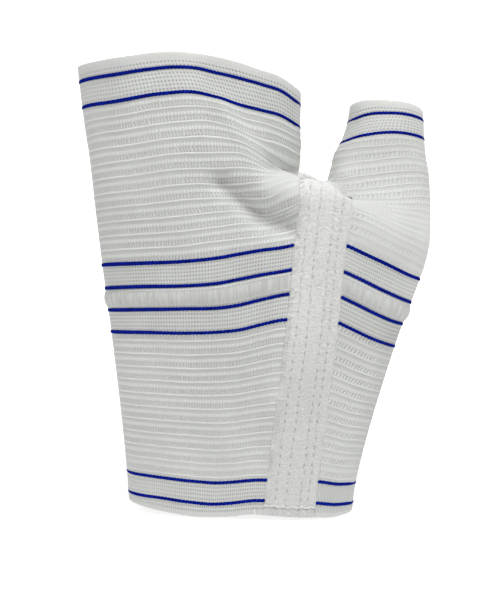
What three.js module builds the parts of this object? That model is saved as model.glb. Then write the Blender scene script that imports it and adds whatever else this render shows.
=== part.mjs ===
// A palm protector: one knitted elastic sleeve round the wrist and palm, with a thumb tube that
// branches off it, and a sewn tape over the front seam that closes the knit below the thumb.
//
// Millimetres. +Z runs from the wrist to the fingers, +X points to the thumb, and -Y is the front,
// where the tape runs. The origin is the middle of the wrist opening.
//
// The knit is laid out in courses, its rows of stitches, numbered by their distance up the flat
// cloth from the wrist edge. Each course is a ring. Below the crotch it runs round palm and thumb
// together, and above it splits into a palm ring and a thumb ring.

import * as THREE from "three";

const { lerp, smoothstep } = THREE.MathUtils;

// Driving sizes
const wallThickness = 1.6;
const ribRise = 0.5; // how far a rib's crest stands out of the knit
const padRise = 0.9; // the smooth padded band between the middle lines
const tape = { width: 18.5, thickness: 1.1, gap: 0.3, fromWristEdge: 0.8, fromCrotch: 1.2 };
// The web of cloth between palm and thumb: rise is how much higher it is in its middle than at its
// front, turnsOver and fadesOver the courses in which a tube's inner side and its depth leave it.
const web = { rise: 1.2, turnsOver: 5, fadesOver: 12 };
const innerCap = 2.5; // how far a tube's rounded inner end stands out beyond its last cut

// Courses, in millimetres up the cloth. The named lines are the coloured yarns of the knit.
const course = {
  wristEdge: 0,
  wristLineLow: 4.6,
  wristLineHigh: 12.2,
  middleLine1: 66.2,
  middleLine2: 74.6,
  middleLine3: 83,
  middleLine4: 92,
  topLineLow: 153,
  topLineHigh: 162,
  topEdge: 167.6,
};
const lowerRibs = 10; // between the wrist lines and the middle lines
const upperRibs = 11; // between the middle lines and the top lines
const ribsBelowCrotch = 8; // of the upper ribs
const upperRibPitch = (course.topLineLow - course.middleLine4) / upperRibs;
course.crotch = course.middleLine4 + ribsBelowCrotch * upperRibPitch;
course.web = course.crotch + 1.2; // a ring close above the crotch that rounds the web

// How finely the rings are cut
const palmSteps = 14; // from the little-finger side to the tape's edge
const thumbSteps = 8; // from the tape's other edge to the thumb side
const webSteps = 6; // front to back over the web, and round a tube's inner end
const sidePacking = 1.5; // above 1 sets the cuts closer together at the rounded sides
const seamColumn = palmSteps + 2; // place of the front seam in a ring that starts at the left side
const backColumn = seamColumn + 2 * (thumbSteps + 2); // place of the point behind it

// The palm tube at some courses. leftX and leftZ are its little-finger side, rightX its inner side,
// innerZ the course's height at the seam or inner side. front and back are its half depths, crease
// sharpens the left side (0.5 is an ellipse) and arch lifts the course in the middle.
const palmAt = sections(
  ["leftX", "leftZ", "rightX", "innerZ", "front", "back", "crease", "arch"],
  [
    [course.wristEdge, -43, 0, 43, -2.5, 20, 20, 0.5, -1.9],
    [course.wristLineHigh, -43.8, 9.8, 42, 10.2, 20, 20, 0.5, -0.6],
    [course.middleLine1, -49.8, 63.1, 39, 67.5, 21, 20.5, 0.52, -1.7],
    [course.middleLine4, -53.3, 88.9, 35.5, 95, 21, 20.5, 0.55, -1.6],
    [115, -56, 112, 30, 109.5, 21, 20.5, 0.6, 0.5],
    [course.crotch, -58.5, 133.4, 25, 121.5, 20.5, 20, 0.66, 4.5],
    [141, -59.3, 137.8, 23.8, 126, 20.5, 20, 0.68, 4.8],
    [145, -59.9, 141.6, 23.2, 131.2, 20.5, 20, 0.7, 5],
    [course.topLineLow, -61, 149, 22.8, 141.2, 20.5, 20, 0.72, 5.4],
    [course.topEdge, -62.9, 163.8, 23.1, 155.6, 20.5, 20, 0.74, 5.6],
  ],
);

// The thumb tube. It is part of the wide ring below the crotch, where leftX lies inside the palm.
// middle is how far its middle plane lies behind the palm's.
const thumbAt = sections(
  ["leftX", "innerZ", "rightX", "rightZ", "front", "back", "middle", "arch"],
  [
    [course.wristEdge, 5, -2.5, 42.6, -2.4, 17.5, 17.5, 0, -0.4],
    [course.wristLineHigh, 6, 10.2, 44.1, 5.8, 17.5, 17.5, 0, 0.4],
    [course.middleLine1, 9, 67.5, 58.6, 57.3, 19.5, 18.5, -1, 0.3],
    [course.middleLine4, 12, 95, 67.7, 83.5, 20, 18, -2, 0.3],
    [106, 17, 104, 71, 96, 20, 17.5, -2.5, 0.5],
    [120, 24, 112.6, 71.7, 108.4, 19, 16.5, -3, 0.6],
    [course.crotch, 31.5, 121.5, 71, 123.2, 16.5, 15, -3.5, 0.3],
    [141, 33.2, 125, 70.5, 126.9, 15.6, 14.3, -3.7, 0],
    [145, 34.8, 129, 70, 130.2, 14.8, 13.6, -4, 0],
    [course.topLineLow, 37.6, 136.4, 69.4, 136.8, 13.4, 12.5, -4.5, -0.4],
    [course.topLineHigh, 40.3, 143.6, 69, 143.6, 12.4, 12, -5, -0.4],
    [course.topEdge, 41.3, 148.6, 68.8, 147.8, 12, 11.6, -5.4, -0.4],
  ],
);

// The front seam: where the palm and thumb sides of a course meet, under the middle of the tape.
// blend rounds the valley between the two tubes, and backZ is the course's height straight behind.
const seamAt = sections(
  ["x", "blend", "backZ"],
  [
    [course.wristEdge, 17.4, 10, -1.6],
    [course.wristLineHigh, 18.8, 10, 8],
    [course.middleLine1, 26, 9, 60.6],
    [course.middleLine4, 28.6, 9, 87],
    [115, 29, 11, 107],
    [course.crotch, 28, 20, 121.5],
  ],
);

// Folds of the palm's front, each along a line. A fold of positive rise stands out.
const folds = records(
  ["fromX", "fromZ", "toX", "toZ", "halfWidth", "rise"],
  [
    [23, 121, -2, 122.5, 5.5, 3.6], // roll of cloth gathered into the crotch
    [21, 106.5, 2, 110, 4.5, -3.6], // valley under the roll
    [19, 133, 10, 132, 6.5, -4], // dent above the roll
    [-11, 152, 4, 128, 5.5, 1.4], // ridge where the palm's face turns to its inner side
  ],
);
const foldFade = 7; // folds die out over this width at the tape's edge

// One record for each row of a table, with the named columns.
function records(columns, rows) {
  return rows.map((row) => Object.fromEntries(columns.map((name, i) => [name, row[i]])));
}

// A smooth function of the course through a table's rows, whose first entry is the course.
function sections(columns, rows) {
  const courses = rows.map((row) => row[0]);
  const values = rows.flatMap((row) => row.slice(1));
  const interpolant = new THREE.CubicInterpolant(courses, values, columns.length);
  return (at) => records(columns, [[...interpolant.evaluate(at)]])[0];
}

function smoothMax(a, b, blend) {
  return (a + b + Math.hypot(a - b, blend)) / 2;
}

// A tube's depth at x as a share of its half depth: 1 in its middle, 0 at its sides, below 0 outside.
function depthShare(x, tube, leftPower = 0.5) {
  const across = (2 * x - tube.leftX - tube.rightX) / (tube.rightX - tube.leftX);
  const inside = 1 - across ** 2;
  if (inside <= 0) return inside;
  return inside ** (across < 0 ? leftPower : 0.5);
}

function foldRise(x, z, seamX) {
  const point = new THREE.Vector3(x, 0, z);
  let rise = 0;
  for (const fold of folds) {
    const from = new THREE.Vector3(fold.fromX, 0, fold.fromZ);
    const to = new THREE.Vector3(fold.toX, 0, fold.toZ);
    const nearest = new THREE.Line3(from, to).closestPointToPoint(point, true, new THREE.Vector3());
    rise += fold.rise * Math.exp(-((point.distanceTo(nearest) / fold.halfWidth) ** 2));
  }
  const tapeEdge = seamX - tape.width / 2;
  return rise * smoothstep(tapeEdge - x, 0, foldFade);
}

// Where a course is cut, from a side to the seam or inner end, both included. The last two cuts
// before the end follow the tape's edge and quarter.
function cutsToSeam(sideX, endX, steps) {
  const toEnd = Math.sign(endX - sideX);
  const tapeEdge = endX - (toEnd * tape.width) / 2;
  const cuts = [];
  for (let i = 0; i < steps; i++) cuts.push(lerp(sideX, tapeEdge, (i / steps) ** sidePacking));
  return [...cuts, tapeEdge, endX - (toEnd * tape.width) / 4, endX];
}

// Height of a course between its side and its inner end.
function courseHeight(x, sideX, endX, sideZ, endZ, arch) {
  const along = (x - sideX) / (endX - sideX);
  return lerp(sideZ, endZ, along) + arch * 4 * along * (1 - along);
}

// Depth of the cloth in front of or behind the palm's middle plane. Palm and thumb run into each
// other below the crotch, and the web still rounds them a little way above it.
function clothDepth(x, at, isFront) {
  const palm = palmAt(at);
  const thumb = thumbAt(at);
  const { blend } = seamAt(Math.min(at, course.crotch));
  const webLeft = 1 - smoothstep(at, course.crotch, course.crotch + web.fadesOver);
  const palmDepth = (isFront ? palm.front : palm.back) * depthShare(x, palm, palm.crease);
  const thumbShare = depthShare(x, thumb);
  const thumbFront = thumb.front * thumbShare - thumb.middle;
  const thumbBack = thumb.back * thumbShare + thumb.middle;
  return smoothMax(palmDepth, isFront ? thumbFront : thumbBack, blend * webLeft);
}

// How much of the web is left at a tube's inner side: all at the crotch, turning up into the tube.
function webShare(at) {
  const climbed = THREE.MathUtils.clamp((at - course.crotch) / web.turnsOver, 0, 1);
  return 1 - Math.sqrt(1 - (1 - climbed) ** 2);
}

// Half rings, listed from the side to the seam or to the tube's inner end.
function palmHalf(at, isFront) {
  const palm = palmAt(at);
  const seam = seamAt(Math.min(at, course.crotch));
  const joined = at <= course.crotch;
  const endX = joined ? seam.x : lerp(palm.rightX - innerCap, seam.x, webShare(at));
  const endZ = joined && !isFront ? seam.backZ : palm.innerZ;
  return cutsToSeam(palm.leftX, endX, palmSteps).map((x, i) => {
    const z = courseHeight(x, palm.leftX, endX, palm.leftZ, endZ, palm.arch);
    const fold = isFront ? foldRise(x, z, seam.x) : 0;
    const depth = i === 0 ? 0 : clothDepth(x, at, isFront) + fold;
    return new THREE.Vector3(x, isFront ? -depth : depth, z);
  });
}

function thumbHalf(at, isFront) {
  const thumb = thumbAt(at);
  const seam = seamAt(Math.min(at, course.crotch));
  const joined = at <= course.crotch;
  const endX = joined ? seam.x : lerp(thumb.leftX + innerCap, seam.x, webShare(at));
  const endZ = joined && !isFront ? seam.backZ : thumb.innerZ;
  return cutsToSeam(thumb.rightX, endX, thumbSteps).map((x, i) => {
    const z = courseHeight(x, thumb.rightX, endX, thumb.rightZ, endZ, thumb.arch);
    const depth = clothDepth(x, at, isFront);
    const y = isFront ? -depth : depth;
    return new THREE.Vector3(x, i === 0 ? thumb.middle : y, z);
  });
}

// The points between a tube's front and back at its inner end, front to back, ends left out.
// They cross the web at the crotch, and round the tube's end above it.
function innerEnd(front, back, outward, at) {
  const points = [];
  for (let i = 1; i < webSteps; i++) {
    const turn = (i / webSteps) * Math.PI;
    const point = front.clone().lerp(back, (1 - Math.cos(turn)) / 2);
    point.x += outward * innerCap * (1 - webShare(at)) * Math.sin(turn);
    point.z += web.rise * webShare(at) * Math.sin(turn);
    points.push(point);
  }
  return points;
}

// Whole rings, listed the same way round: front from left to right, then back from right to left.
function bodyRing(at) {
  const palmFront = palmHalf(at, true);
  const thumbFront = thumbHalf(at, true).reverse().slice(1);
  const thumbBack = thumbHalf(at, false).slice(1);
  const palmBack = palmHalf(at, false).reverse().slice(1, -1);
  return [...palmFront, ...thumbFront, ...thumbBack, ...palmBack];
}

function palmRing(at) {
  const front = palmHalf(at, true);
  const back = palmHalf(at, false);
  const end = innerEnd(front.at(-1), back.at(-1), 1, at);
  return [...front, ...end, ...back.reverse().slice(0, -1)];
}

function thumbRing(at) {
  const front = thumbHalf(at, true);
  const back = thumbHalf(at, false);
  const end = innerEnd(front.at(-1), back.at(-1), -1, at).reverse();
  return [...front.reverse(), ...back.slice(1), ...end];
}

// The courses that get a ring. Ribbed ones have a crest between each pair of grooves.
function courseList(withCrests) {
  const rows = [course.wristEdge, course.wristLineLow];
  const addRibs = (from, to, count) => {
    const half = (to - from) / (2 * count);
    for (let i = 0; i < 2 * count; i += withCrests ? 1 : 2) rows.push(from + i * half);
  };
  addRibs(course.wristLineHigh, course.middleLine1, lowerRibs);
  addRibs(course.middleLine1, course.middleLine4, 3);
  addRibs(course.middleLine4, course.crotch, ribsBelowCrotch);
  rows.push(course.crotch, course.web);
  addRibs(course.crotch, course.topLineLow, upperRibs - ribsBelowCrotch);
  rows.push(course.topLineLow, course.topLineHigh, course.topEdge);
  return [...new Set(rows)].sort((a, b) => a - b);
}

// How far the knit's relief stands out at a course: ribs, the padded band, nothing elsewhere.
function reliefAt(at) {
  const wave = (from, to, count) => (1 - Math.cos(((at - from) / (to - from)) * count * 2 * Math.PI)) / 2;
  if (at > course.wristLineHigh && at < course.middleLine1)
    return ribRise * wave(course.wristLineHigh, course.middleLine1, lowerRibs);
  if (at > course.middleLine2 && at < course.middleLine3)
    return padRise * wave(course.middleLine2, course.middleLine3, 1);
  if (at > course.middleLine4 && at < course.topLineLow)
    return ribRise * wave(course.middleLine4, course.topLineLow, upperRibs);
  return 0;
}

// The knit flattens under the tape.
function reliefShare(point, at) {
  const away = Math.abs(point.x - seamAt(Math.min(at, course.crotch)).x);
  const onFront = point.y < 0 && at <= course.web;
  return onFront ? smoothstep(away, tape.width / 2, tape.width / 2 + 4) : 1;
}

// The knit's middle surface through the given courses: its points, their outward normals, and for
// each part of it the rings as lists of point numbers. The three parts share the ring at the crotch.
function knitSurface(courses) {
  const points = [];
  const add = (ring) => ring.map((point) => points.push(point) - 1);
  const tubeCourses = courses.filter((at) => at > course.crotch);
  const bodyCourses = courses.filter((at) => at <= course.crotch);
  const body = bodyCourses.map((at) => add(bodyRing(at)));
  const split = body.at(-1);
  const [seamFront, seamBack] = [split[seamColumn], split[backColumn]];
  const webLine = add(innerEnd(points[seamFront], points[seamBack], 1, course.crotch));
  const palmSplit = [...split.slice(0, seamColumn + 1), ...webLine, ...split.slice(backColumn)];
  const thumbSplit = [...split.slice(seamColumn, backColumn + 1), ...[...webLine].reverse()];
  const rings = {
    body,
    palm: [palmSplit, ...tubeCourses.map((at) => add(palmRing(at)))],
    thumb: [thumbSplit, ...tubeCourses.map((at) => add(thumbRing(at)))],
  };
  const courseOf = [];
  body.forEach((ring, i) => ring.forEach((point) => (courseOf[point] = bodyCourses[i])));
  webLine.forEach((point) => (courseOf[point] = course.crotch));
  for (const tube of [rings.palm, rings.thumb])
    tubeCourses.forEach((at, i) => tube[i + 1].forEach((point) => (courseOf[point] = at)));
  const geometry = new THREE.BufferGeometry().setFromPoints(points);
  geometry.setIndex(Object.values(rings).flatMap((rows) => cellsBetween(rows)));
  geometry.computeVertexNormals();
  const { normal } = geometry.attributes;
  const normals = points.map((_, i) => new THREE.Vector3().fromBufferAttribute(normal, i));
  return { points, normals, rings, courseOf };
}

// Two triangles for each cell between rows of point numbers that follow each other, facing out.
function cellsBetween(rows, closed = true) {
  const cells = [];
  for (let row = 0; row + 1 < rows.length; row++) {
    const [low, high] = [rows[row], rows[row + 1]];
    for (let i = 0; i < low.length - (closed ? 0 : 1); i++) {
      const next = (i + 1) % low.length;
      cells.push(low[i], low[next], high[next], low[i], high[next], high[i]);
    }
  }
  return cells;
}

function offsetPoints(surface, distanceAt) {
  return surface.points.map((point, i) =>
    point.clone().addScaledVector(surface.normals[i], distanceAt(point, surface.courseOf[i])),
  );
}

// The knit wall: a ribbed outside, a smooth inside, and a rim at each of its three openings.
function knitWall() {
  const outside = knitSurface(courseList(true));
  const inside = knitSurface(courseList(false));
  const outer = offsetPoints(outside, (point, at) => reliefAt(at) * reliefShare(point, at));
  const inner = offsetPoints(inside, () => -wallThickness);
  const cells = [];
  for (const name of ["body", "palm", "thumb"]) {
    const outerRings = outside.rings[name];
    const innerRings = inside.rings[name].map((ring) => ring.map((point) => point + outer.length));
    cells.push(...cellsBetween(outerRings), ...cellsBetween([...innerRings].reverse()));
    if (name === "body") cells.push(...cellsBetween([innerRings[0], outerRings[0]]));
    else cells.push(...cellsBetween([outerRings.at(-1), innerRings.at(-1)]));
  }
  return new THREE.BufferGeometry().setFromPoints([...outer, ...inner]).setIndex(cells);
}

// The tape: a strip over the columns of the front that lie under it, from the wrist edge to the web.
function seamTape() {
  const firstCourse = course.wristEdge + tape.fromWristEdge;
  const lastCourse = course.crotch - tape.fromCrotch;
  const middleCourses = courseList(true).filter((at) => at > firstCourse && at < lastCourse);
  const surface = knitSurface([firstCourse, ...middleCourses, lastCourse, course.crotch, course.web]);
  const points = [tape.gap + tape.thickness, tape.gap].flatMap((away) => offsetPoints(surface, () => away));
  const below = (row) => row.map((point) => point + surface.points.length);
  const rows = surface.rings.body.slice(0, -1).map((ring) => ring.slice(seamColumn - 2, seamColumn + 3));
  const sideUp = rows.slice(1, -1).map((row) => row.at(-1));
  const sideDown = rows.slice(1, -1).map((row) => row[0]);
  const edge = [...rows[0], ...sideUp, ...[...rows.at(-1)].reverse(), ...sideDown.reverse()];
  const faceOut = cellsBetween(rows, false);
  const faceIn = below(faceOut).reverse();
  const geometry = new THREE.BufferGeometry().setFromPoints(points);
  return geometry.setIndex([...faceOut, ...faceIn, ...cellsBetween([below(edge), edge])]);
}

function piece(name, geometry, color) {
  const material = new THREE.MeshStandardMaterial({ color, roughness: 0.9, metalness: 0 });
  const mesh = new THREE.Mesh(geometry, material);
  mesh.name = name;
  return mesh;
}

const palmProtector = new THREE.Group();
palmProtector.name = "palm_protector";
palmProtector.add(
  piece("knit_sleeve", knitWall(), 0xe2e3df),
  piece("seam_tape", seamTape(), 0xe9e9e8),
);

export default palmProtector;
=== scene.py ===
import math
import random
from types import SimpleNamespace

import bpy
import numpy as np
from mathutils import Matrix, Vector


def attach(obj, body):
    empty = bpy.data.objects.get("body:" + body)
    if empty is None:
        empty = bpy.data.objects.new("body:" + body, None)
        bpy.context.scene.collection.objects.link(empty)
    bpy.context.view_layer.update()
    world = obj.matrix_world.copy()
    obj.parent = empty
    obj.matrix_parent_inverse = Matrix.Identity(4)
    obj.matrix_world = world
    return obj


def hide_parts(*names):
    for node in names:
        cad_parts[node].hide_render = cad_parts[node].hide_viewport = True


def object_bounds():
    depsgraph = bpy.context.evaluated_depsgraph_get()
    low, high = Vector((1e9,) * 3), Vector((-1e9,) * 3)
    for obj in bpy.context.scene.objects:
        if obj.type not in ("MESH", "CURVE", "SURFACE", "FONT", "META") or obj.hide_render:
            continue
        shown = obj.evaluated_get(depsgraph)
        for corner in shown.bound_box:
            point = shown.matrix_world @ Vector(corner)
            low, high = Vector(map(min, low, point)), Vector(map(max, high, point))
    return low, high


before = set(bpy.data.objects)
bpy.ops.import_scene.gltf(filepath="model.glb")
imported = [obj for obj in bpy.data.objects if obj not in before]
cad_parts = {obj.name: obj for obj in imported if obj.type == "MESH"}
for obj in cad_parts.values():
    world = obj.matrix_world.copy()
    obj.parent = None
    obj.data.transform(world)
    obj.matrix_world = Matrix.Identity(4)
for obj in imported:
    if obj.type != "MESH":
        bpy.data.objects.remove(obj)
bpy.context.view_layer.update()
print("frame loaded with", sorted(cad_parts))

mm = 0.001
random.seed(7)


# Small helpers for working on one object at a time

def deselectAll():
    if bpy.context.mode != "OBJECT":
        bpy.ops.object.mode_set(mode="OBJECT")
    bpy.ops.object.select_all(action="DESELECT")


def pick(*pieces):
    deselectAll()
    for piece in pieces:
        piece.select_set(True)
    bpy.context.view_layer.objects.active = pieces[0]


def applyModifier(piece, kind, **settings):
    pick(piece)
    modifier = piece.modifiers.new(kind.lower(), kind)
    for name, value in settings.items():
        setattr(modifier, name, value)
    bpy.ops.object.modifier_apply(modifier=modifier.name)


def editMesh(piece, *steps, only=None):  # only: a mask that picks some of its points
    pick(piece)
    bpy.ops.object.mode_set(mode="EDIT")
    bpy.ops.mesh.select_all(action="SELECT" if only is None else "DESELECT")
    if only is not None:
        bpy.ops.object.mode_set(mode="OBJECT")
        piece.data.vertices.foreach_set("select", only)
        bpy.ops.object.mode_set(mode="EDIT")
    for step, settings in steps:
        step(**settings)
    bpy.ops.object.mode_set(mode="OBJECT")


def shadeSmooth(piece):
    pick(piece)
    bpy.ops.object.shade_smooth()
    return piece


def flatGrid(name, across, up):
    deselectAll()
    bpy.ops.mesh.primitive_grid_add(x_subdivisions=across, y_subdivisions=up, size=2)
    grid = bpy.context.object
    grid.name = name
    return grid, pointsOf(grid.data)


def pointsOf(mesh):
    flat = np.empty(len(mesh.vertices) * 3, np.float32)
    mesh.vertices.foreach_get("co", flat)
    return flat.reshape(-1, 3).astype(float)


def setPoints(mesh, points):
    mesh.vertices.foreach_set("co", points.astype(np.float32).ravel())
    mesh.update()


def cornersOf(mesh):
    corner = np.empty(len(mesh.loops), np.int32)
    mesh.loops.foreach_get("vertex_index", corner)
    return corner


def setClothMap(mesh, spots):  # each corner's place on the flat cloth
    layer = mesh.uv_layers.active
    layer.name = "cloth"
    layer.uv.foreach_set("vector", spots.astype(np.float32).ravel())


def newPath(name, path):
    curve = bpy.data.curves.new(name, "CURVE")
    curve.dimensions = "3D"
    spline = curve.splines.new("POLY")
    spline.points.add(len(path) - 1)
    spline.points.foreach_set("co", np.hstack([path * mm, np.ones((len(path), 1))]).ravel())
    piece = bpy.data.objects.new(name, curve)
    bpy.context.scene.collection.objects.link(piece)
    return piece


def smoothStep(x, low, high):
    t = np.clip((x - low) / (high - low), 0, 1)
    return t * t * (3 - 2 * t)


def lerp(a, b, t):
    return a + (b - a) * t


# The cloth's own layout, in millimetres. A course is a row of stitches, numbered by its distance
# up the flat cloth from the wrist edge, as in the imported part.

course = SimpleNamespace(
    wristEdge=0, wristLineLow=4.6, wristLineHigh=12.2, lowerCord=14,
    middleLine1=66.2, middleLine2=74.6, middleLine3=83, middleLine4=92,
    topLineLow=153, topLineHigh=162, topEdge=167.6,
)
lowerRibs, upperRibs, ribsBelowCrotch = 11, 11, 8
lowerPitch = 4.93
upperPitch = (course.topLineLow - course.middleLine4) / upperRibs
course.crotch = course.middleLine4 + ribsBelowCrotch * upperPitch

web = dict(rise=1.2, turnsOver=1.2, fadesOver=12, innerCap=2.5, settlesOver=14,
           back=(28, 16, 122.5), backReach=(17, 14, 8), backRelax=60)
tape = dict(
    width=18.5, thickness=0.3, gap=0.15, sheet=0.6, start=0.15, endGap=0.3, across=44, along=300,
    slantFrom=0.3, slant=12.5, slantOver=18, slantSink=0.5, edgeFrom=0.72, edgeDrop=0.92,
    startFade=0.9, endFade=4, peak=(0, -0.1, 1.9), probeAcross=0.06, probeLength=0.8,
    needleColumns=(0.20, 0.41, 0.69, 0.83), stitchPitch=3.1, needleHalf=0.45, pucker=0.035,
    tone=0.595, white=(0.995, 1.0, 0.98),
)


def hermite(low, high, lowSlope, highSlope, gap, t):
    return ((1 + 2 * t) * (1 - t) ** 2 * low + t**2 * (3 - 2 * t) * high
            + gap * (t * (1 - t) ** 2 * lowSlope - t**2 * (1 - t) * highSlope))


def throughTable(columns, rows):
    table = np.array(rows, float)
    at, values = table[:, 0], table[:, 1:]
    slopes = np.diff(values, axis=0) / np.diff(at)[:, None]
    tangents = np.vstack([slopes[:1], (slopes[1:] + slopes[:-1]) / 2, slopes[-1:]])

    def read(where):
        where = np.asarray(where, float)
        i = np.clip(np.searchsorted(at, where, side="right") - 1, 0, len(at) - 2)
        gap = (at[i + 1] - at[i])[..., None]
        t = (where - at[i])[..., None] / gap
        value = hermite(values[i], values[i + 1], tangents[i], tangents[i + 1], gap, t)
        return SimpleNamespace(all=value, **{name: value[..., k] for k, name in enumerate(columns)})

    return read


def acrossStations(stations, values, reach):
    stations = np.array(stations)
    values = np.broadcast_to(values, reach.shape + stations.shape)
    reach = np.clip(reach, 0, 1)
    slopes = np.diff(values, axis=-1) / np.diff(stations)
    between = (slopes[..., 1:] + slopes[..., :-1]) / 2
    tangents = np.concatenate([slopes[..., :1], between, slopes[..., -1:]], -1)
    i = np.clip(np.searchsorted(stations, reach, side="right") - 1, 0, len(stations) - 2)
    gap = stations[i + 1] - stations[i]
    value, after, slope, slopeAfter = [
        np.take_along_axis(table, k[..., None], -1)[..., 0]
        for table, k in ((values, i), (values, i + 1), (tangents, i), (tangents, i + 1))
    ]
    return hermite(value, after, slope, slopeAfter, gap, (reach - stations[i]) / gap)


def rib(count):
    return course.middleLine4 + count * upperPitch


palmAt = throughTable(["leftX", "rightX", "front", "back", "crease", "backArch"], [
    [course.wristEdge, -43, 43, 20, 20, 0.5, -1.9],
    [course.wristLineHigh, -43.8, 42, 20, 20, 0.5, -0.6],
    [course.middleLine1, -49.8, 39, 21, 20.5, 0.52, -1.7],
    [course.middleLine4, -53.3, 35.5, 21, 20.5, 0.55, -1.6],
    [115, -56, 29, 21, 20.5, 0.6, 0.5],
    [course.crotch, -58.5, 22.3, 20.5, 20, 0.66, 4.5],
    [141, -59.3, 22.8, 20.5, 20, 0.68, 4.8],
    [145, -59.9, 23.1, 20.5, 20, 0.7, 5],
    [course.topLineLow, -61, 22.8, 20.5, 20, 0.72, 5.4],
    [course.topEdge, -62.9, 23.1, 20.5, 20, 0.74, 5.6],
])
thumbAt = throughTable(["leftX", "rightX", "front", "back", "middle", "backArch"], [
    [course.wristEdge, 5, 41.8, 17.5, 17.5, 0, -0.4],
    [course.wristLineHigh, 6, 43.6, 17.5, 17.5, 0, 0.4],
    [course.middleLine1, 9, 58.6, 19.5, 18.5, -1, 0.3],
    [course.middleLine4, 12, 67.7, 20, 18, -2, 0.3],
    [106, 17, 71, 20, 17.5, -2.5, 0.5],
    [120, 24, 71.7, 19, 16.5, -3, 0.6],
    [course.crotch, 32.4, 71, 16.5, 15, -3.5, 0.3],
    [141, 33.8, 70.5, 15.6, 14.3, -3.7, 0],
    [145, 34.8, 70, 14.8, 13.6, -4, 0],
    [course.topLineLow, 37.6, 69.4, 13.4, 12.5, -4.5, -0.4],
    [course.topLineHigh, 40.3, 69, 12.4, 12, -5, -0.4],
    [course.topEdge, 41.3, 68.8, 12, 11.6, -5.4, -0.4],
])
seamAt = throughTable(["x", "blend", "backZ"], [
    [course.wristEdge, 17.4, 10, -1.6],
    [course.wristLineHigh, 18.8, 10, 8],
    [course.middleLine1, 26, 9, 60.6],
    [course.middleLine4, 28.8, 9, 87],
    [103, 30.2, 10, 96.5],
    [115, 30.9, 11, 107],
    [course.crotch, 31, 20, 119.6],
])

# Heights of the front courses, read at stations from the outer side (0)
# to the seam or a tube's inner end (1)

palmStations = (0, 0.2, 0.4, 0.55, 0.65, 0.75, 0.85, 0.93, 1)
palmHeights = throughTable([], [
    [course.wristEdge, -0.7, -2.1, -3.2, -3.1, -2.8, -2.1, -1.9, -2.2, -2.5],
    [course.wristLineLow, 2.8, 2.8, 2, 1.6, 2.1, 3, 3.3, 3, 2.6],
    [course.wristLineHigh, 10.5, 10.4, 9.8, 9.3, 9.7, 10.4, 10.7, 10.5, 10.2],
    [course.middleLine1, 63.4, 63.5, 63.4, 63.8, 64.6, 66.4, 68.1, 68.5, 68.5],
    [course.middleLine2, 71.6, 71.9, 72.2, 72.5, 73.6, 75.5, 77.2, 78, 78.5],
    [course.middleLine3, 79.9, 80.3, 80.5, 81.4, 82.9, 84.5, 85.8, 87.1, 88.3],
    [course.middleLine4, 88.7, 88.8, 89.3, 90.5, 92, 93.4, 94.6, 96.3, 98.2],
    [rib(1), 94, 94.2, 94.9, 96.5, 97.4, 98.4, 100, 101.6, 103.4],
    [rib(2), 99.2, 99.4, 100.2, 101.7, 102.9, 103.5, 106, 108.5, 108.3],
    [rib(3), 104.4, 104.7, 105.6, 107, 107.5, 106.5, 108.9, 112.2, 112.3],
    [rib(4), 109.7, 110, 111.3, 112.1, 112.5, 112.3, 116.3, 117.8, 115],
    [rib(5), 115.1, 115.3, 116.9, 117.3, 117.4, 118, 120.4, 119.6, 116.6],
    [rib(6), 120.6, 120.9, 122.5, 122.8, 123.1, 122, 121.2, 120.2, 117.8],
    [rib(7), 126.2, 126.5, 128.1, 128.4, 128.3, 124.7, 122.2, 120.9, 118.8],
    [course.crotch, 132, 132.1, 133.8, 134.1, 132.5, 128.4, 123.6, 121.6, 119.6],
    [course.crotch + web["turnsOver"], 133.2, 133.4, 135.1, 135.4, 133.7, 129.6, 124.6, 122.8, 121.8],
    [rib(9), 137.8, 137.9, 139.5, 139.9, 137.9, 134.6, 133.2, 130.9, 129.1],
    [rib(10), 143.4, 143.2, 144.8, 145.2, 144, 141.3, 140, 138.5, 136.6],
    [course.topLineLow, 149.1, 148.6, 150.1, 150.4, 148.5, 146.2, 144.9, 144, 141.9],
    [course.topLineHigh, 158.9, 158.4, 159.3, 159.2, 157.6, 155.9, 154.3, 153.1, 150.5],
    [course.topEdge, 164.9, 164.6, 165.2, 164.7, 163.5, 161.8, 159.7, 158.4, 155.8],
])
thumbStations = (0, 0.15, 0.35, 0.6, 0.78, 0.88, 1)
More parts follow.
